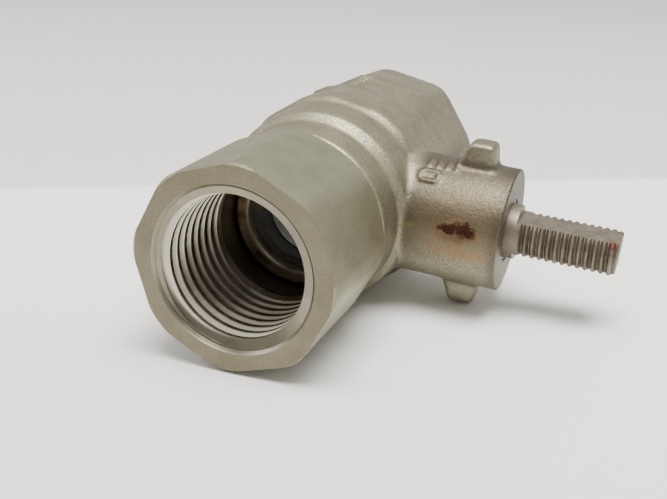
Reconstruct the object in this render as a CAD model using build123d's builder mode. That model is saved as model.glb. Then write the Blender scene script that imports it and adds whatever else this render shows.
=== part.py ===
from build123d import *
from math import cos, radians, sin, sqrt, tan
import os

# Two-piece threaded ball valve with its handle taken off, lying on its side.
# Origin: ball centre. Y: flow axis, inlet end at -Y. X: stem axis, pointing out. Millimetres.

# ends and pipe threads (1/2 inch, 14 turns per inch, 1:16 taper on the roots)
INLET_FACE = -34.4
OUTLET_FACE = 29.2
MOUTH_R = 11.1
MOUTH_STEP_R = 10.7
MOUTH_STEP = 0.5
CREST_START = 1.15
CREST_R = 9.35
ROOT_R = 10.53
PIPE_PITCH = 25.4 / 14
PIPE_TAPER_DEG = 1.79
INLET_THREAD_DEPTH = 15.45
OUTLET_THREAD_DEPTH = 13.2
INLET_THREAD_TURN_DEG = 97.2
OUTLET_THREAD_TURN_DEG = 180.0
LEAD_IN = 1.6
RUN_OUT = 0.8
RELIEF_R = 9.6
THREAD_FLANK_DEG = 27.5
ROOT_FLAT = 0.12
CLEAR = 0.05

# octagonal wrenching ends
OCT_APOTHEM = 13.1
CAP_CORNER_R = 4.5
BODY_CORNER_R = 2.4
OCT_CORNER_ROUND_R = 14.3
END_FACE_R = 13.45
END_CHAMFER = 0.7
CAP_OCT_TURN_DEG = 43.0
BODY_OCT_TURN_DEG = 13.0
SHOULDER_START = -2.5
SHOULDER_END = -1.2
SHOULDER_R = 15.2
BODY_OCT_ROOT_APOTHEM = 14.9

# ball, seats and flow passage
BALL_R = 22.22 / 2
PORT_R = 6.35
SEAT_R = PORT_R + 0.1
SEAT_POCKET_R = 9.75
SEAT_BACK = 12.0
SEAT_DEPTH = 4.2
SEAT_RIM = 0.5
THROAT_R = 7.5
THROAT_END = 14.2
CAVITY_R = 11.4
VENT_R = 0.8

# end cap
CAP_SHOULDER = -20.1
CAP_SHOULDER_MID = (13.75, -16.9)
CAP_REAR = -14.65
CAP_REAR_R = 12.3
SPIGOT_R = 11.8
SPIGOT_END = -6.4
SEAL_END = -5.7
SEAL_INNER_R = 10.6

# body casting
BODY_FRONT = -14.5
BODY_FRONT_R = 12.15
LIP_BEAD = (12.7, -13.95)
LIP_END = (13.05, -9.3)
LIP_SHOULDER = (14.1, -7.9)
GLOBE_R = 14.3
GLOBE_START = -6.2
GLOBE_END = 5.0
NECK_START = 4.0
NECK_R = 8.85
NECK_FACE = 27.1
LUG_TIP = 12.2
LUG_ROOT = 7.0
LUG_INNER = 20.0
LUG_OUTER = 23.55
LUG_HALF_WIDTH = 2.1
LUG_ROOT_INNER = 18.0
LUG_ROOT_OUTER = 24.05
LUG_ROOT_HALF_WIDTH = 2.5
LUG_TIP_ROUND = 0.6

# stem and its seals
STEM_R = 3.95
STEM_THREAD_R = 3.9
STEM_PITCH = 25.4 / 24
STEM_THREAD_DEPTH = 0.6
STEM_ROOT_FLAT = 0.1
STEM_FLANK_DEG = 30
STEM_THREAD_START = 29.2
STEM_TIP = 42.55
STEM_TIP_CHAMFER = 0.7
FLATS_START = 28.4
ACROSS_FLATS = 4.56
COLLAR_START = 11.6
COLLAR_END = 13.3
COLLAR_R = 5.6
TANG_START = 8.7
TANG_HALF_THICK = 2.15
TANG_HALF_WIDTH = 4.3
TANG_OVERLAP = 0.5
SLOT_GAP = 0.08
SLOT_FLOOR_GAP = 0.2
PACKING_R = 5.9
PACKING_END = 20.6
STEM_BORE_START = 8.4
NECK_BORE_R = 4.5
RING_THICK = 1.0
CHEVRON_RISE = 0.8
THRUST_END = COLLAR_END + RING_THICK
BASE_RING_TOP = THRUST_END + 0.9
O_RING_AT = 22.1
O_RING_SECTION_R = 0.7
GROOVE_R = 3.05
GROOVE_HALF = 0.85
BUSHING_START = 23.4
BUSHING_END = 26.9

OVER = 2.0

os.makedirs("parts", exist_ok=True)


def save(piece, name):
    piece.part.label = name
    export_step(piece.part, f"parts/{name}.step")


def octagon(apothem, turn_deg):
    """Corner points of an octagon with one corner at turn_deg."""
    corner = apothem / cos(radians(22.5))
    turns = [radians(turn_deg + 45 * step) for step in range(8)]
    return [(corner * cos(turn), corner * sin(turn)) for turn in turns]


def flow_plane(y):
    """Plane across the flow axis, with its local axes along +X and +Z."""
    return Plane(origin=(0, y, 0), x_dir=(1, 0, 0), z_dir=(0, -1, 0))


def port_profile(face, inward, thread_depth):
    """Half section of one pipe port, from its face to the seat pocket, as (radius, y) points."""
    thread_end = face + inward * thread_depth
    throat = -inward * THROAT_END
    return [
        (0, face - inward * OVER),
        (MOUTH_R, face - inward * OVER),
        (MOUTH_R, face),
        (MOUTH_STEP_R, face + inward * (MOUTH_R - MOUTH_STEP_R)),
        (MOUTH_STEP_R, face + inward * MOUTH_STEP),
        (CREST_R, face + inward * CREST_START),
        (CREST_R, thread_end),
        (RELIEF_R, thread_end),
        (RELIEF_R, throat),
        (THROAT_R, throat),
        (THROAT_R, -inward * SEAT_BACK),
        (SEAT_POCKET_R, -inward * SEAT_BACK),
    ]


def thread_cutter(face, inward, thread_depth, turn_deg):
    """V groove swept along a tapered helix, from outside the face to the end of the thread."""
    start = face - inward * LEAD_IN
    length = LEAD_IN + thread_depth - RUN_OUT
    depth = ROOT_R - CREST_R + 2 * CLEAR
    half = ROOT_FLAT / 2 + depth * tan(radians(THREAD_FLANK_DEG))
    with BuildPart() as cutter:
        with BuildLine():
            path = Helix(
                pitch=PIPE_PITCH,
                height=length,
                radius=ROOT_R,
                center=(0, start, 0),
                direction=(0, inward, 0),
                cone_angle=-PIPE_TAPER_DEG,
            )
        begin = path @ 0
        outward = Vector(begin.X, 0, begin.Z).normalized()
        with BuildSketch(Plane(origin=begin, x_dir=outward, z_dir=path % 0)):
            with BuildLine():
                Polyline(
                    (0, -ROOT_FLAT / 2),
                    (0, ROOT_FLAT / 2),
                    (-depth, half),
                    (-depth, -half),
                    close=True,
                )
            make_face()
        sweep(path=path, is_frenet=True)
    return Rotation(0, turn_deg, 0) * cutter.part


# end cap: octagonal inlet end with its screwed spigot
with BuildPart() as end_cap:
    with BuildSketch(flow_plane(INLET_FACE)) as cap_octagon:
        Polygon(*octagon(OCT_APOTHEM, CAP_OCT_TURN_DEG), align=None)
        fillet(cap_octagon.vertices(), radius=CAP_CORNER_R)
    extrude(amount=-(CAP_REAR - INLET_FACE))
    with BuildSketch(Plane.XY):
        with BuildLine():
            Polyline(
                (CAP_REAR_R, CAP_REAR),
                (0, CAP_REAR),
                (0, INLET_FACE),
                (END_FACE_R, INLET_FACE),
                (OCT_CORNER_ROUND_R, INLET_FACE + END_CHAMFER),
                (OCT_CORNER_ROUND_R, CAP_SHOULDER),
            )
            ThreePointArc(
                (OCT_CORNER_ROUND_R, CAP_SHOULDER),
                CAP_SHOULDER_MID,
                (CAP_REAR_R, CAP_REAR),
            )
        make_face()
    revolve(axis=Axis.Y, mode=Mode.INTERSECT)
    with BuildSketch(flow_plane(CAP_REAR)):
        Circle(SPIGOT_R)
    extrude(amount=-(SPIGOT_END - CAP_REAR))
    with BuildSketch(Plane.XY):
        with BuildLine():
            Polyline(
                *port_profile(INLET_FACE, 1, INLET_THREAD_DEPTH),
                (SEAT_POCKET_R, SPIGOT_END + OVER),
                (0, SPIGOT_END + OVER),
                close=True,
            )
        make_face()
    revolve(axis=Axis.Y, mode=Mode.SUBTRACT)
    add(thread_cutter(INLET_FACE, 1, INLET_THREAD_DEPTH, INLET_THREAD_TURN_DEG), mode=Mode.SUBTRACT)
save(end_cap, "end_cap")


# outlet end of the body: drafted octagon with a round shoulder at its root and a face chamfer
with BuildPart() as outlet_end:
    for y, apothem in ((SHOULDER_START, BODY_OCT_ROOT_APOTHEM), (OUTLET_FACE, OCT_APOTHEM)):
        with BuildSketch(flow_plane(y)) as body_octagon:
            Polygon(*octagon(apothem, BODY_OCT_TURN_DEG), align=None)
            fillet(body_octagon.vertices(), radius=BODY_CORNER_R)
    loft()
    with BuildSketch(Plane.XY):
        with BuildLine():
            Polyline(
                (0, SHOULDER_START),
                (GLOBE_R - CLEAR, SHOULDER_START),
                (SHOULDER_R, SHOULDER_END),
                (OCT_CORNER_ROUND_R, OUTLET_FACE - END_CHAMFER),
                (END_FACE_R, OUTLET_FACE),
                (0, OUTLET_FACE),
                close=True,
            )
        make_face()
    revolve(axis=Axis.Y, mode=Mode.INTERSECT)


def stop_lug(side):
    """Tapered handle stop on the neck, on the +Z or -Z side."""
    levels = (
        (LUG_ROOT, LUG_ROOT_INNER, LUG_ROOT_OUTER, LUG_ROOT_HALF_WIDTH),
        (LUG_TIP, LUG_INNER, LUG_OUTER, LUG_HALF_WIDTH),
    )
    with BuildPart() as lug:
        for height, inner, outer, half_width in levels:
            plane = Plane(origin=(0, 0, side * height), x_dir=(1, 0, 0), z_dir=(0, 0, side))
            with BuildSketch(plane):
                with Locations(((inner + outer) / 2, 0)):
                    Rectangle(outer - inner, 2 * half_width)
        loft()
        tip = lug.faces().sort_by(Axis.Z)[-1 if side > 0 else 0]
        fillet(tip.edges(), radius=LUG_TIP_ROUND)
    return lug.part


# body casting: globe, outlet end, neck and stop lugs, bored for the ball, seats and stem
with BuildPart() as valve_body:
    with BuildSketch(Plane.XY):
        with BuildLine():
            Polyline(
                (0, BODY_FRONT),
                (BODY_FRONT_R, BODY_FRONT),
                LIP_BEAD,
                LIP_END,
                LIP_SHOULDER,
                (GLOBE_R, GLOBE_START),
                (GLOBE_R, SHOULDER_START),
                (GLOBE_R - CLEAR, SHOULDER_START),
                (GLOBE_R - CLEAR, GLOBE_END),
                (0, GLOBE_END),
                close=True,
            )
        make_face()
    revolve(axis=Axis.Y)
    add(outlet_end.part)
    with BuildSketch(Plane.YZ.offset(NECK_START)):
        Circle(NECK_R)
    extrude(amount=NECK_FACE - NECK_START)
    add(stop_lug(1))
    add(stop_lug(-1))
    with BuildSketch(Plane.XY):
        with BuildLine():
            Polyline(
                (CAVITY_R, 0),
                (CAVITY_R, SEAL_END),
                (SPIGOT_R + CLEAR, SEAL_END),
                (SPIGOT_R + CLEAR, BODY_FRONT - OVER),
                (0, BODY_FRONT - OVER),
                *port_profile(OUTLET_FACE, -1, OUTLET_THREAD_DEPTH),
                (SEAT_POCKET_R, sqrt(CAVITY_R**2 - SEAT_POCKET_R**2)),
            )
            RadiusArc(
                (SEAT_POCKET_R, sqrt(CAVITY_R**2 - SEAT_POCKET_R**2)),
                (CAVITY_R, 0),
                CAVITY_R,
            )
        make_face()
    revolve(axis=Axis.Y, mode=Mode.SUBTRACT)
    with BuildSketch(Plane.XY):
        with BuildLine():
            Polyline(
                (STEM_BORE_START, 0),
                (STEM_BORE_START, PACKING_R),
                (PACKING_END, PACKING_R),
                (PACKING_END, NECK_BORE_R),
                (NECK_FACE + OVER, NECK_BORE_R),
                (NECK_FACE + OVER, 0),
                close=True,
            )
        make_face()
    revolve(axis=Axis.X, mode=Mode.SUBTRACT)
    add(thread_cutter(OUTLET_FACE, -1, OUTLET_THREAD_DEPTH, OUTLET_THREAD_TURN_DEG), mode=Mode.SUBTRACT)
save(valve_body, "valve_body")


# ball: bored through, slotted for the stem tang, with a vent hole from slot to bore
with BuildPart() as ball:
    Sphere(BALL_R)
    with BuildSketch(Plane.XZ):
        Circle(PORT_R)
    extrude(amount=BALL_R + OVER, both=True, mode=Mode.SUBTRACT)
    with BuildSketch(Plane.YZ.offset(TANG_START - SLOT_FLOOR_GAP)):
        Rectangle(2 * (TANG_HALF_THICK + SLOT_GAP), 2 * (TANG_HALF_WIDTH + SLOT_GAP))
    extrude(amount=BALL_R, mode=Mode.SUBTRACT)
    with BuildSketch(Plane.YZ):
        Circle(VENT_R)
    extrude(amount=BALL_R, mode=Mode.SUBTRACT)
save(ball, "ball")


def seat_ring(side):
    """Seat ring with a spherical face towards the ball, on the -Y or +Y side."""

    def contact(radius):
        return (radius, side * sqrt((BALL_R + CLEAR) ** 2 - radius**2))

    inner = contact(SEAT_R)
    outer = contact(SEAT_POCKET_R - SEAT_RIM)
    with BuildPart() as ring:
        with BuildSketch(Plane.XY):
            with BuildLine():
                ThreePointArc(outer, contact((SEAT_R + SEAT_POCKET_R) / 2), inner)
                Polyline(
                    inner,
                    (SEAT_R, side * SEAT_BACK),
                    (SEAT_POCKET_R, side * SEAT_BACK),
                    (SEAT_POCKET_R, side * (SEAT_BACK - SEAT_DEPTH)),
                    outer,
                )
            make_face()
        revolve(axis=Axis.Y)
    return ring


save(seat_ring(-1), "seat_ring_front")
save(seat_ring(1), "seat_ring_rear")


# body joint seal, between the cap's spigot and the step in the body
with BuildPart() as joint_seal:
    with BuildSketch(flow_plane(SPIGOT_END)):
        Circle(SPIGOT_R)
        Circle(SEAL_INNER_R, mode=Mode.SUBTRACT)
    extrude(amount=-(SEAL_END - SPIGOT_END))
save(joint_seal, "joint_seal")


def stem_thread_cutter():
    """V groove along the stem's threaded end, only as wide as the metal between the flats."""
    reach = STEM_THREAD_DEPTH + CLEAR
    root_half = STEM_ROOT_FLAT / 2
    half = root_half + reach * tan(radians(STEM_FLANK_DEG))
    with BuildPart() as cutter:
        with BuildLine():
            path = Helix(
                pitch=STEM_PITCH,
                height=STEM_TIP - STEM_THREAD_START + STEM_PITCH,
                radius=STEM_THREAD_R - STEM_THREAD_DEPTH,
                center=(STEM_THREAD_START, 0, 0),
                direction=(1, 0, 0),
            )
        begin = path @ 0
        outward = Vector(0, begin.Y, begin.Z).normalized()
        with BuildSketch(Plane(origin=begin, x_dir=outward, z_dir=path % 0)):
            with BuildLine():
                Polyline((0, -root_half), (0, root_half), (reach, half), (reach, -half), close=True)
            make_face()
        sweep(path=path, is_frenet=True)
        with Locations(((STEM_THREAD_START + STEM_TIP) / 2, 0, 0)):
            Box(4 * STEM_TIP, 4 * STEM_R, ACROSS_FLATS + 4 * CLEAR, mode=Mode.INTERSECT)
    return cutter.part


# stem: tang in the ball, blow-out-proof collar, O-ring groove and double-D threaded end
with BuildPart() as stem:
    with BuildSketch(Plane.XY):
        with BuildLine():
            Polyline(
                (COLLAR_START, 0),
                (COLLAR_START, COLLAR_R),
                (COLLAR_END, COLLAR_R),
                (COLLAR_END, STEM_R),
                (O_RING_AT - GROOVE_HALF, STEM_R),
                (O_RING_AT - GROOVE_HALF, GROOVE_R),
                (O_RING_AT + GROOVE_HALF, GROOVE_R),
                (O_RING_AT + GROOVE_HALF, STEM_R),
                (FLATS_START, STEM_R),
                (FLATS_START, STEM_THREAD_R),
                (STEM_TIP - STEM_TIP_CHAMFER, STEM_THREAD_R),
                (STEM_TIP, STEM_THREAD_R - STEM_TIP_CHAMFER),
                (STEM_TIP, 0),
                close=True,
            )
        make_face()
    revolve(axis=Axis.X)
    with BuildSketch(Plane.YZ.offset(TANG_START)):
        Rectangle(2 * TANG_HALF_THICK, 2 * TANG_HALF_WIDTH)
    extrude(amount=COLLAR_START + TANG_OVERLAP - TANG_START)
    for side in (1, -1):
        with BuildSketch(Plane.YZ.offset(FLATS_START)):
            with Locations((0, side * (ACROSS_FLATS / 2 + STEM_R))):
                Rectangle(4 * STEM_R, 2 * STEM_R)
        extrude(amount=STEM_TIP, mode=Mode.SUBTRACT)
    add(stem_thread_cutter(), mode=Mode.SUBTRACT)
save(stem, "stem")


def ring_about_stem(points):
    """Ring about the stem axis from a half section of (x, radius) points."""
    with BuildPart() as ring:
        with BuildSketch(Plane.XY):
            with BuildLine():
                Polyline(*points, close=True)
            make_face()
        revolve(axis=Axis.X)
    return ring


def chevron(start, thickness):
    """Lower and upper V outlines of a packing ring, from the bore to the pocket wall."""
    bore = STEM_R + CLEAR
    middle = (bore + PACKING_R) / 2
    lower = [(start, bore), (start + CHEVRON_RISE, middle), (start, PACKING_R)]
    upper = [(x + thickness, r) for x, r in reversed(lower)]
    return lower, upper


thrust_points = [
    (COLLAR_END, STEM_R + CLEAR),
    (COLLAR_END, PACKING_R),
    (THRUST_END, PACKING_R),
    (THRUST_END, STEM_R + CLEAR),
]
save(ring_about_stem(thrust_points), "thrust_washer")

base_top, _ = chevron(BASE_RING_TOP, 0)
base_points = [(THRUST_END, PACKING_R), (THRUST_END, STEM_R + CLEAR), *base_top]
save(ring_about_stem(base_points), "packing_base_ring")

for index, place in enumerate(("lower", "middle", "upper")):
    lower_v, upper_v = chevron(BASE_RING_TOP + index * RING_THICK, RING_THICK)
    save(ring_about_stem([*lower_v, *upper_v]), f"packing_v_ring_{place}")

header_bottom, _ = chevron(BASE_RING_TOP + 3 * RING_THICK, 0)
header_points = [*header_bottom, (PACKING_END, PACKING_R), (PACKING_END, STEM_R + CLEAR)]
save(ring_about_stem(header_points), "packing_header_ring")


# O-ring in the stem's groove
with BuildPart() as stem_o_ring:
    with BuildSketch(Plane.XY):
        with Locations((O_RING_AT, GROOVE_R + O_RING_SECTION_R)):
            Circle(O_RING_SECTION_R)
    revolve(axis=Axis.X)
save(stem_o_ring, "stem_o_ring")


bushing_points = [
    (BUSHING_START, STEM_R + CLEAR),
    (BUSHING_START, NECK_BORE_R),
    (BUSHING_END, NECK_BORE_R),
    (BUSHING_END, STEM_R + CLEAR),
]
save(ring_about_stem(bushing_points), "stem_bushing")
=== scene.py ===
import math

import bpy
import numpy as np
from mathutils import Matrix, Vector


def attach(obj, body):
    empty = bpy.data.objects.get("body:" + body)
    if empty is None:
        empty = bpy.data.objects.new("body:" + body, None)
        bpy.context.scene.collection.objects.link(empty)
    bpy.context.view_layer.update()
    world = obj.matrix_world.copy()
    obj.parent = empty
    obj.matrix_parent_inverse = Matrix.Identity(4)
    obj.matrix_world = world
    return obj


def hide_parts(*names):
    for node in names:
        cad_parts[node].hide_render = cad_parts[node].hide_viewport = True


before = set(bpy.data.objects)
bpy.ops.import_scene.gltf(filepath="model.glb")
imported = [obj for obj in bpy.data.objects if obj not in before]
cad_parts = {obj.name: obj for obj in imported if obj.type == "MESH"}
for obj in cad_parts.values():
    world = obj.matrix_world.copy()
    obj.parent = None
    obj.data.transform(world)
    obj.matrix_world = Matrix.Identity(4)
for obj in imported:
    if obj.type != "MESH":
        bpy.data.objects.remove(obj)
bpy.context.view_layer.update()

MM = 0.001

# driving dimensions in millimetres: the flow runs along Y, the stem and neck along X
INLET_FACE = -34.4
OUTLET_FACE = 29.2
MOUTH_R = 11.1
MOUTH_END = -33.0
THREAD_CREST_R = 9.35
THREAD_END = -18.95
THROAT_R = 7.5
NECK_ROOT = 12.5
NECK_R = 8.85
NECK_FACE = 27.1
STEM_BORE_R = 4.5
FLATS_START = 28.4
STEM_TIP = 42.55

# the valve lies on the underside of its body and on the tip of its lower stop lug
FLOOR_TILT = math.radians(3.9)
FLOOR_DROP = -14.05 * MM

# camera at the photograph's angle
CAMERA_AT = Vector((47.44, -131.46, 49.04)) * MM
CAMERA_AZIMUTH = math.radians(19.564)
CAMERA_ELEVATION = math.radians(22.668)
CAMERA_ROLL = math.radians(5.339)
CAMERA_LENS = 52.6


def link(obj):
    bpy.context.scene.collection.objects.link(obj)
    return obj


def make_camera():
    """Camera from its azimuth, elevation and roll, which give its right, up and backward directions."""
    a, e = CAMERA_AZIMUTH, CAMERA_ELEVATION
    back = Vector((math.sin(a) * math.cos(e), -math.cos(a) * math.cos(e), math.sin(e)))
    level = Vector((math.cos(a), math.sin(a), 0))
    rise = back.cross(level)
    c, s = math.cos(CAMERA_ROLL), math.sin(CAMERA_ROLL)
    right = c * level + s * rise
    up = c * rise - s * level
    data = bpy.data.cameras.new("camera")
    data.lens = CAMERA_LENS
    data.sensor_width = 36
    data.clip_start = 0.005
    data.clip_end = 20
    camera = link(bpy.data.objects.new("camera", data))
    camera.matrix_world = Matrix.Translation(CAMERA_AT) @ Matrix((right, up, back)).transposed().to_4x4()
    bpy.context.scene.camera = camera


# ---------------------------------------------------------------- materials

class Shader:
    """A material's node tree, with short calls for the nodes used here."""

    def __init__(self, name, roughness=0.5, metallic=1.0):
        self.material = bpy.data.materials.new(name)
        self.material.use_nodes = True
        self.tree = self.material.node_tree
        self.surface = self.tree.nodes["Principled BSDF"]
        self.surface.inputs["Roughness"].default_value = roughness
        self.surface.inputs["Metallic"].default_value = metallic
        self.place = self.add("ShaderNodeTexCoord").outputs["Object"]

    def add(self, kind, **settings):
        node = self.tree.nodes.new(kind)
        for key, value in settings.items():
            setattr(node, key, value)
        return node

    def put(self, socket, value):
        if isinstance(value, bpy.types.NodeSocket):
            self.tree.links.new(value, socket)
        else:
            socket.default_value = value

    def math(self, operation, a, b=0.0):
        node = self.add("ShaderNodeMath", operation=operation)
        self.put(node.inputs[0], a)
        self.put(node.inputs[1], b)
        return node.outputs[0]

    def times(self, first, *others):
        """The product of two or more values."""
        for other in others:
            first = self.math("MULTIPLY", first, other)
        return first

    def axes(self):
        node = self.add("ShaderNodeSeparateXYZ")
        self.put(node.inputs[0], self.place)
        return node.outputs

    def stretched(self, x, y, z):
        node = self.add("ShaderNodeMapping")
        self.put(node.inputs["Vector"], self.place)
        node.inputs["Scale"].default_value = (x, y, z)
        return node.outputs[0]

    def noise(self, size, detail=2.0, roughness=0.5, vector=None):
        """Noise from 0 to 1 whose blobs are about size across, in metres."""
        node = self.add("ShaderNodeTexNoise")
        self.put(node.inputs["Vector"], self.place if vector is None else vector)
        node.inputs["Scale"].default_value = 1 / size
        node.inputs["Detail"].default_value = detail
        node.inputs["Roughness"].default_value = roughness
        return node.outputs["Fac"]

    def pits(self, size):
        """Distance from the middle of the nearest of many cells about size apart, in metres."""
        node = self.add("ShaderNodeTexVoronoi")
        self.put(node.inputs["Vector"], self.place)
        node.inputs["Scale"].default_value = 1 / size
        return node.outputs["Distance"]

    def span(self, value, low, high, to_low=0.0, to_high=1.0):
        """value, from low..high to to_low..to_high, smoothly and held at the ends."""
        node = self.add("ShaderNodeMapRange", interpolation_type="SMOOTHSTEP")
        self.put(node.inputs["Value"], value)
        node.inputs["From Min"].default_value = low
        node.inputs["From Max"].default_value = high
        node.inputs["To Min"].default_value = to_low
        node.inputs["To Max"].default_value = to_high
        return node.outputs[0]

    def rise(self, value, low, high):
        """0 below low and 1 above high; low and high in millimetres."""
        return self.span(value, low * MM, high * MM)

    def fall(self, value, low, high):
        """1 below low and 0 above high; low and high in millimetres."""
        return self.span(value, low * MM, high * MM, 1.0, 0.0)

    def mix(self, factor, a, b):
        node = self.add("ShaderNodeMix", data_type="RGBA")
        self.put(node.inputs["Factor"], factor)
        colours = [s for s in node.inputs if s.type == "RGBA"]
        self.put(colours[0], a)
        self.put(colours[1], b)
        return [s for s in node.outputs if s.type == "RGBA"][0]

    def stain(self, colour, where, strength, stained):
        """colour, turned towards another one where a mask says so."""
        return self.mix(self.times(where, strength), colour, stained)

    def blob(self, centre, radii, ragged=0.25):
        """1 inside a ragged ellipsoid, 0 outside; centre and radii in millimetres."""
        node = self.add("ShaderNodeMapping")
        self.put(node.inputs["Vector"], self.place)
        node.inputs["Scale"].default_value = [1 / (r * MM) for r in radii]
        node.inputs["Location"].default_value = [-c / r for c, r in zip(centre, radii)]
        length = self.add("ShaderNodeVectorMath", operation="LENGTH")
        self.put(length.inputs[0], node.outputs[0])
        edge = self.math("SUBTRACT", self.times(self.noise(0.0012, 3.0, 0.6), ragged * 2), ragged)
        return self.span(self.math("ADD", length.outputs["Value"], edge), 0.6, 1.15, 1.0, 0.0)

    def flow_radius(self):
        """Distance from the flow axis."""
        x, _, z = self.axes()
        return self.math("SQRT", self.math("ADD", self.times(x, x), self.times(z, z)))

    def bump(self, height, depth, strength=1.0, normal=None):
        node = self.add("ShaderNodeBump")
        self.put(node.inputs["Height"], height)
        node.inputs["Strength"].default_value = strength
        node.inputs["Distance"].default_value = depth
        if normal is not None:
            self.put(node.inputs["Normal"], normal)
        return node.outputs[0]

    def finish(self, colour, roughness=None, normal=None):
        self.put(self.surface.inputs["Base Color"], colour)
        if roughness is not None:
            self.put(self.surface.inputs["Roughness"], roughness)
        if normal is not None:
            self.put(self.surface.inputs["Normal"], normal)
        return self.material


def rgb(red, green, blue):
    return (red, green, blue, 1.0)


def grain_tone(s, size):
    """Fine grain about size across, and a light and dark tone from it and from broader clouds."""
    fine = s.noise(size, 3.0, 0.65)
    broad = s.noise(0.0035, 3.0, 0.55)
    both = s.math("ADD", s.times(fine, 0.65), s.times(broad, 0.35))
    return fine, s.span(both, 0.38, 0.62)


def neck_tones(s, colour):
    """Painted shade on the upper half of the neck and lugs and painted light on its underside; the dull outer
    end is darkened in cast_steel.
    """
    x, _, z = s.axes()
    on_neck = s.rise(x, NECK_ROOT, NECK_ROOT + 2.0)
    # painted light: the underside of the neck is lightened
    painted_underside_light = s.times(on_neck, s.fall(z, -8.5, -5.0))
    colour = s.stain(colour, painted_underside_light, 0.5, rgb(0.46, 0.42, 0.33))
    # painted shade: the upper half of the neck is darkened, less so on the lug
    painted_upper_shade = s.times(on_neck, s.rise(z, -6.5, 2.0))
    less_on_lug = s.span(z, 9.2 * MM, 10.2 * MM, 0.8, 0.3)
    return s.stain(colour, painted_upper_shade, less_on_lug, rgb(0.088, 0.074, 0.054))


def cast_steel():
    """Blasted casting: pebbly, with painted highlights for its sparkle, painted shade and light on the neck,
    and rust and brown stains on the neck.
    """
    s = Shader("cast_steel")
    fine, tone = grain_tone(s, 0.00026)
    colour = s.mix(tone, rgb(0.20, 0.186, 0.126), rgb(0.305, 0.287, 0.203))
    # painted highlights: small bright specks stand in for the casting's sparkle
    painted_glints = s.span(s.noise(0.00019, 1.0, 0.5), 0.62, 0.70)
    colour = s.stain(colour, painted_glints, 0.30, rgb(0.75, 0.72, 0.60))
    colour = neck_tones(s, colour)
    halo = s.blob((21.0, -8.7, 1.4), (7.2, 5.0, 6.0), 0.3)
    burn = s.blob((21.2, -8.8, 1.3), (3.6, 3.0, 2.2), 0.5)
    seep = s.blob((22.0, -8.5, -1.6), (4.6, 3.0, 1.1), 0.6)
    foot = s.blob((14.2, -8.6, 0.9), (1.1, 2.0, 0.38), 0.5)
    colour = s.stain(colour, halo, 0.28, rgb(0.30, 0.215, 0.125))
    colour = s.stain(colour, burn, 0.42, rgb(0.21, 0.115, 0.055))
    colour = s.stain(colour, seep, 0.35, rgb(0.28, 0.15, 0.07))
    colour = s.stain(colour, foot, 0.35, rgb(0.24, 0.19, 0.08))
    outer_lump = s.blob((22.3, -8.8, 1.7), (1.8, 2.0, 1.05), 1.0)
    inner_lump = s.blob((20.1, -8.8, 1.5), (1.4, 2.0, 0.8), 1.0)
    rust = s.mix(s.span(fine, 0.4, 0.6), rgb(0.022, 0.010, 0.009), rgb(0.070, 0.020, 0.014))
    colour = s.stain(colour, s.math("MAXIMUM", outer_lump, inner_lump), 0.92, rust)
    x, _, _ = s.axes()
    outer_end = s.rise(x, NECK_FACE - 2.1, NECK_FACE - 0.1)
    colour = s.stain(colour, outer_end, 0.6, rgb(0.085, 0.074, 0.055))
    roughness = s.math("MAXIMUM", s.span(fine, 0.3, 0.7, 0.60, 0.42), s.times(burn, 0.72))
    normal = s.bump(fine, 0.00006, 0.6)
    normal = s.bump(s.pits(0.00045), 0.00008, 0.22, normal)
    normal = s.bump(s.noise(0.0013), 0.00008, 0.4, normal)
    return s.finish(colour, roughness, normal)


def thread_steel(s, patches, groove):
    """Bare metal of the pipe thread: patchy, with painted shade low on one side and painted light in the
    grooves.
    """
    bare = s.mix(s.span(patches, 0.40, 0.60), rgb(0.40, 0.375, 0.295), rgb(0.60, 0.57, 0.46))
    # painted shade: a dark brown patch low on one side of the thread
    shade = s.blob((-7.5, -23.0, -5.5), (8.0, 8.5, 7.0), 0.2)
    bare = s.stain(bare, shade, 0.9, rgb(0.150, 0.108, 0.080))
    # painted light: the grooves are lightened, less so inside the painted shade
    return s.stain(bare, groove, s.span(shade, 0.0, 1.0, 0.8, 0.25), rgb(0.72, 0.68, 0.56))


def throat_steel(s, colour, patches, inside):
    """Brown floor behind the thread, painted shade on its wall, and a painted highlight on the edge round the
    throat.
    """
    _, y, _ = s.axes()
    radius = s.flow_radius()
    past = s.times(s.rise(y, THREAD_END - 0.35, THREAD_END + 0.25), inside)
    wall = s.times(s.rise(radius, THREAD_CREST_R - 0.35, THREAD_CREST_R - 0.05), past)
    edge = s.times(s.fall(radius, THROAT_R + 0.2, THROAT_R + 0.6), past)
    floor = s.mix(s.span(patches, 0.42, 0.58), rgb(0.20, 0.13, 0.085), rgb(0.48, 0.38, 0.26))
    colour = s.mix(past, colour, floor)
    # painted shade: the wall past the thread is painted near black
    colour = s.mix(wall, colour, rgb(0.035, 0.027, 0.02))
    # painted highlight: a bright band on the edge round the throat
    return s.stain(colour, edge, 0.85, rgb(0.80, 0.72, 0.55))


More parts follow.
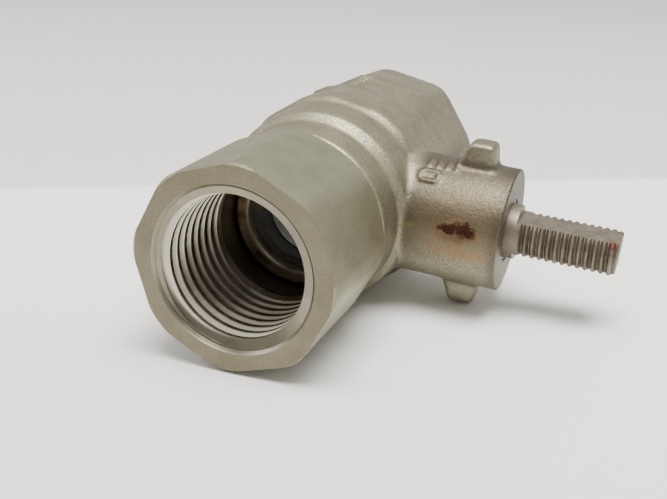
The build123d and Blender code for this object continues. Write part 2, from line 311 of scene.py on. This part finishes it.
def cap_steel():
    """End cap: satin outside, turned face, painted shade on the mouth cone, bright thread with painted light
    in its grooves and painted shade on one side, dark past the thread partly from painted shade.
    """
    s = Shader("cap_steel")
    fine, tone = grain_tone(s, 0.0002)
    _, y, _ = s.axes()
    radius = s.flow_radius()
    patches = s.noise(0.0045, 4.0, 0.6)
    face = s.fall(y, INLET_FACE - 0.05, INLET_FACE + 0.08)
    inside = s.fall(radius, MOUTH_R - 0.2, MOUTH_R + 0.05)
    mouth = s.times(inside, s.fall(y, MOUTH_END - 0.3, MOUTH_END))
    along = s.times(s.rise(y, MOUTH_END - 0.3, MOUTH_END), s.fall(y, THREAD_END - 0.35, THREAD_END + 0.05))
    groove = s.times(s.rise(radius, THREAD_CREST_R + 0.03, THREAD_CREST_R + 0.15), along, inside)
    nicks = s.times(s.span(s.noise(0.0009), 0.71, 0.77), inside)
    colour = s.mix(tone, rgb(0.235, 0.226, 0.152), rgb(0.31, 0.30, 0.21))
    colour = s.mix(face, colour, s.mix(tone, rgb(0.134, 0.114, 0.080), rgb(0.170, 0.148, 0.106)))
    colour = s.mix(inside, colour, thread_steel(s, patches, groove))
    # painted shade: the mouth cone is darkened to dim its reflection
    colour = s.stain(colour, mouth, 0.8, rgb(0.18, 0.158, 0.115))
    colour = throat_steel(s, colour, patches, inside)
    colour = s.stain(colour, nicks, 0.35, rgb(0.06, 0.045, 0.035))
    s.put(s.surface.inputs["Metallic"], s.span(groove, 0.0, 1.0, 1.0, 0.12))
    roughness = s.math("SUBTRACT", s.span(fine, 0.3, 0.7, 0.54, 0.42), s.times(inside, 0.14))
    grain = s.times(fine, s.math("SUBTRACT", 1.0, s.times(inside, 0.85)))
    rings = s.noise(0.00016, 2.0, 0.6, s.stretched(1.0, 0.02, 1.0))
    normal = s.bump(rings, 0.00001, 0.3, s.bump(grain, 0.00003, 0.5))
    return s.finish(colour, roughness, normal)


def stem_steel():
    """Stem: turned, dull in the thread, with a worn red inspection mark near its tip."""
    s = Shader("stem_steel", metallic=0.7)
    x, _, _ = s.axes()
    rings = s.noise(0.00012, 2.0, 0.6, s.stretched(1.0, 0.05, 0.05))
    patches = s.noise(0.0016, 3.0, 0.6)
    mark = s.blob((STEM_TIP - 0.95, -3.0, 2.2), (0.5, 0.9, 1.3), 0.5)
    base = s.fall(x, FLATS_START, FLATS_START + 1.0)
    colour = s.mix(s.span(patches, 0.35, 0.65), rgb(0.130, 0.110, 0.080), rgb(0.195, 0.168, 0.125))
    colour = s.stain(colour, mark, 0.75, rgb(0.16, 0.020, 0.022))
    colour = s.stain(colour, base, 0.7, rgb(0.235, 0.205, 0.16))
    return s.finish(colour, s.span(rings, 0.3, 0.7, 0.54, 0.42), s.bump(rings, 0.00002, 0.5))


def ball_steel():
    """Ball: polished, with faint smears."""
    s = Shader("ball_steel")
    smear = s.noise(0.002, 3.0, 0.6)
    fine = s.noise(0.0002, 2.0, 0.6)
    colour = s.mix(s.span(smear, 0.35, 0.65), rgb(0.30, 0.31, 0.325), rgb(0.46, 0.47, 0.49))
    return s.finish(colour, s.span(fine, 0.3, 0.7, 0.24, 0.14), s.bump(smear, 0.00002, 0.3))


def polymer(name, light, dark, roughness):
    """Soft ring material with a fine mottle."""
    s = Shader(name, metallic=0.0)
    grain = s.noise(0.0004, 3.0)
    colour = s.mix(s.span(grain, 0.3, 0.7), rgb(*dark), rgb(*light))
    return s.finish(colour, s.span(grain, 0.3, 0.7, roughness + 0.08, roughness), s.bump(grain, 0.00002, 0.4))


def dress(obj, material):
    obj.data.materials.clear()
    obj.data.materials.append(material)


cast_finish = cast_steel()
seat_finish = polymer("seat", (0.06, 0.058, 0.055), (0.035, 0.034, 0.032), 0.45)
packing_finish = polymer("packing", (0.80, 0.79, 0.74), (0.62, 0.60, 0.55), 0.45)
bushing_finish = polymer("bushing", (0.17, 0.165, 0.145), (0.11, 0.105, 0.095), 0.5)
rubber_finish = polymer("rubber", (0.035, 0.035, 0.035), (0.02, 0.02, 0.02), 0.5)

finishes = {
    "valve_body": cast_finish,
    "end_cap": cap_steel(),
    "ball": ball_steel(),
    "stem": stem_steel(),
    "seat_ring_front": seat_finish,
    "seat_ring_rear": seat_finish,
    "joint_seal": seat_finish,
    "stem_o_ring": rubber_finish,
    "stem_bushing": bushing_finish,
}
for node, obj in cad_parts.items():
    dress(obj, finishes.get(node, packing_finish))


# ---------------------------------------------------------------- casting

VOXEL = 0.3 * MM
SMOOTH_ROUNDS = 12
WAVES = 14
CUT_FACE_REACH = 0.28
SKIN_START = -6.8
FLOW_BORES_R = 12.4
STEM_BORES_R = 6.3
NECK_CORE_R = 8.0
REAR_R = 14.0
SEAM_HEIGHT = 0.26
SEAM_HALF_WIDTH = 0.42
NECK_MARK_HEIGHT = 0.26
REAR_MARK_HEIGHT = 0.30
MARK_EDGE = 0.45

# worn raised marks, each (along, across, half length, half width) in millimetres
NECK_BARS = [(x, 11.5, 0.08, 1.0) for x in (15.0, 16.3, 17.6, 18.9)]
NECK_LOOP = [(15.6, 9.5, 1.0, 0.05), (15.6, 7.7, 1.0, 0.05), (14.3, 8.6, 0.05, 0.5), (16.9, 8.6, 0.05, 0.5)]
REAR_BARS = [(y, 24.3, 0.1, 1.0) for y in (9.6, 11.4, 13.2, 15.0, 16.8)]
REAR_SHORT_BARS = [(y, 26.2, 0.1, 0.8) for y in (2.6, 4.2, 5.8)]


def ramp(value, low, high):
    """0 below low and 1 above high, smooth between."""
    t = np.clip((value - low) / (high - low), 0, 1)
    return t * t * (3 - 2 * t)


def ripple(points, size, seed):
    """Smooth unevenness between about -1 and 1, with hollows about size apart, in millimetres."""
    rng = np.random.default_rng(seed)
    waves = rng.normal(size=(WAVES, 3))
    spread = rng.uniform(0.6, 1.4, (WAVES, 1))
    waves *= (2 * np.pi / size) * spread / np.linalg.norm(waves, axis=1, keepdims=True)
    return np.cos(points @ waves.T + rng.uniform(0, 2 * np.pi, WAVES)).sum(axis=1) / 4


def cast_zone(points):
    """1 on the rough outside of the casting, 0 on its bores and turned faces; millimetres."""
    x, y, z = points.T
    flow_r = np.hypot(x, z)
    stem_r = np.hypot(y, z)
    in_flow_bores = (flow_r < FLOW_BORES_R) & (stem_r > NECK_CORE_R)
    in_stem_bores = stem_r < STEM_BORES_R
    zone = ramp(y, SKIN_START - 0.8, SKIN_START) * ramp(-y, 0.2 - OUTLET_FACE, 0.6 - OUTLET_FACE)
    zone *= np.where(in_flow_bores | in_stem_bores, 0.0, 1.0)
    return zone * ramp(-x, 0.1 - NECK_FACE, 0.5 - NECK_FACE)


def worn_marks(along, across, rows):
    """1 on each mark, falling to 0 around it; each row is (along, across, half length, half width)."""
    height = np.zeros_like(along)
    for a, c, half_long, half_wide in rows:
        past_end = np.maximum(abs(along - a) - half_long, 0)
        past_side = np.maximum(abs(across - c) - half_wide, 0)
        height = np.maximum(height, 1 - ramp(np.hypot(past_end, past_side), 0.0, MARK_EDGE))
    return height


def relief(points):
    """How far each point of the casting is raised, in millimetres."""
    x, y, z = points.T
    height = 0.022 * ripple(points, 8.0, 3) + 0.008 * ripple(points, 2.4, 5)
    neck_side = np.where(abs(np.hypot(y, z) - NECK_R) < 0.9, 1.0, 0.0)
    neck_side *= ramp(x, NECK_ROOT + 0.1, NECK_ROOT + 0.9) * ramp(-x, 0.5 - NECK_FACE, 1.1 - NECK_FACE)
    seam = np.where(y < 0, 1.0, 0.0) * (1 - ramp(abs(z + 0.1), 0.0, SEAM_HALF_WIDTH))
    around_neck = np.arctan2(z, -y) * NECK_R
    marks = worn_marks(x, around_neck, NECK_BARS + NECK_LOOP)
    height += (SEAM_HEIGHT * seam + NECK_MARK_HEIGHT * marks) * neck_side
    rear_side = (np.hypot(x, z) > FLOW_BORES_R + 0.2) & (x < 0)
    around_rear = np.arctan2(z, x) * REAR_R
    marks = worn_marks(y, around_rear, REAR_BARS + REAR_SHORT_BARS)
    return height + REAR_MARK_HEIGHT * np.where(rear_side, marks, 0.0)


def smoothed(points, edges, zone):
    """Even out the casting's skin, which rounds its corners and fills its inner angles."""
    count = len(points)
    ends = np.concatenate([edges, edges[:, ::-1]])
    degree = np.bincount(ends[:, 0], minlength=count)[:, None]
    for _ in range(SMOOTH_ROUNDS):
        total = np.stack([np.bincount(ends[:, 0], points[ends[:, 1], k], count) for k in range(3)], axis=1)
        points = points + 0.5 * zone[:, None] * (total / degree - points)
    return points


def trued(points):
    """Put the skin back on the turned neck face and the stem's bore, which the remesh leaves uneven."""
    x, y, z = points.T
    stem_r = np.hypot(y, z)
    face = (abs(x - NECK_FACE) < CUT_FACE_REACH) & (stem_r > STEM_BORE_R + 0.1) & (stem_r < 8.3)
    bore = (abs(stem_r - STEM_BORE_R) < CUT_FACE_REACH) & (x > 21.0) & (x < NECK_FACE - 0.05)
    points = points.copy()
    points[face, 0] = NECK_FACE
    points[bore, 1:] *= (STEM_BORE_R / stem_r[bore])[:, None]
    return points


def remeshed(source):
    """A closed mesh of a CAD node with small even faces, to smooth and carve."""
    shell = link(bpy.data.objects.new("shell", source.data.copy()))
    shell.matrix_world = source.matrix_world.copy()
    remesh = shell.modifiers.new("skin", "REMESH")
    remesh.mode = "VOXEL"
    remesh.voxel_size = VOXEL
    mesh = bpy.data.meshes.new_from_object(shell.evaluated_get(bpy.context.evaluated_depsgraph_get()))
    bpy.data.objects.remove(shell)
    return mesh


def make_casting(node):
    """The body casting as it looks: rounded corners, uneven skin, parting line and worn marks."""
    mesh = remeshed(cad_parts[node])
    points = np.empty(len(mesh.vertices) * 3)
    mesh.vertices.foreach_get("co", points)
    points = points.reshape(-1, 3) / MM
    edges = np.empty(len(mesh.edges) * 2, dtype=np.int64)
    mesh.edges.foreach_get("vertices", edges)
    zone = cast_zone(points)
    points = trued(smoothed(points, edges.reshape(-1, 2), zone))
    mesh.vertices.foreach_set("co", (points * MM).ravel())
    mesh.update()
    normals = np.empty(points.size)
    mesh.vertices.foreach_get("normal", normals)
    points += normals.reshape(-1, 3) * (relief(points) * zone)[:, None]
    mesh.vertices.foreach_set("co", (points * MM).ravel())
    mesh.polygons.foreach_set("use_smooth", [True] * len(mesh.polygons))
    mesh.update()
    casting = link(bpy.data.objects.new("body_casting", mesh))
    dress(casting, cast_finish)
    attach(casting, "casing")
    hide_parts(node)


make_casting("valve_body")


# ---------------------------------------------------------------- floor, backdrop, light

def paper():
    """Pale card in two tones, with a soft line between them behind the valve, and painted shade darkening it
    towards the front.
    """
    s = Shader("paper", roughness=0.8, metallic=0.0)
    fibres = s.noise(0.0015, 4.0, 0.6)
    x, y, _ = s.axes()
    beyond = s.math("ADD", s.times(x, -0.477), s.times(y, 0.879))
    near = s.mix(fibres, rgb(0.86, 0.86, 0.855), rgb(0.90, 0.90, 0.895))
    # painted shade: the near card darkens towards the front
    near = s.stain(near, s.fall(y, -95.0, 25.0), 0.9, rgb(0.69, 0.69, 0.665))
    far = s.mix(fibres, rgb(0.665, 0.645, 0.63), rgb(0.695, 0.675, 0.66))
    colour = s.mix(s.rise(beyond, 46.5, 50.5), near, far)
    return s.finish(colour, None, s.bump(fibres, 0.00003, 0.3))


def make_stage():
    side = 1.5
    corners = [(-side, -side, 0), (side, -side, 0), (side, side, 0), (-side, side, 0)]
    mesh = bpy.data.meshes.new("floor")
    mesh.from_pydata(corners, [], [(0, 1, 2, 3)])
    mesh.materials.append(paper())
    floor = link(bpy.data.objects.new("floor", mesh))
    floor.matrix_world = Matrix.Translation((0, 0, FLOOR_DROP)) @ Matrix.Rotation(-FLOOR_TILT, 4, "Y")


def area_light(name, place, size, power, colour=(1, 1, 1)):
    """A soft rectangular light that faces the ball's centre."""
    data = bpy.data.lights.new(name, "AREA")
    data.shape = "RECTANGLE"
    data.size, data.size_y = size
    data.energy = power
    data.color = colour
    light = link(bpy.data.objects.new(name, data))
    light.location = place
    light.rotation_mode = "QUATERNION"
    light.rotation_quaternion = (-Vector(place)).to_track_quat("-Z", "Y")


def make_room():
    """Soft surroundings, dimmer on the camera's side than behind the valve."""
    world = bpy.data.worlds.new("soft_room")
    world.use_nodes = True
    tree = world.node_tree
    background = tree.nodes["Background"]
    background.inputs["Color"].default_value = rgb(1.0, 0.98, 0.945)
    heading = tree.nodes.new("ShaderNodeTexCoord").outputs["Generated"]
    split = tree.nodes.new("ShaderNodeSeparateXYZ")
    tree.links.new(heading, split.inputs[0])
    span = tree.nodes.new("ShaderNodeMapRange")
    span.interpolation_type = "SMOOTHSTEP"
    tree.links.new(split.outputs["Y"], span.inputs["Value"])
    span.inputs["From Min"].default_value = -0.9
    span.inputs["From Max"].default_value = 0.3
    span.inputs["To Min"].default_value = 0.37
    span.inputs["To Max"].default_value = 0.93
    tree.links.new(span.outputs[0], background.inputs["Strength"])
    bpy.context.scene.world = world


def make_light():
    make_room()
    area_light("overhead", (0.05, -0.08, 0.55), (0.42, 0.28), 7.6, (1.0, 0.975, 0.94))
    area_light("left_card", (-0.42, -0.10, 0.22), (0.25, 0.25), 0.8)


make_camera()
make_stage()
make_light()
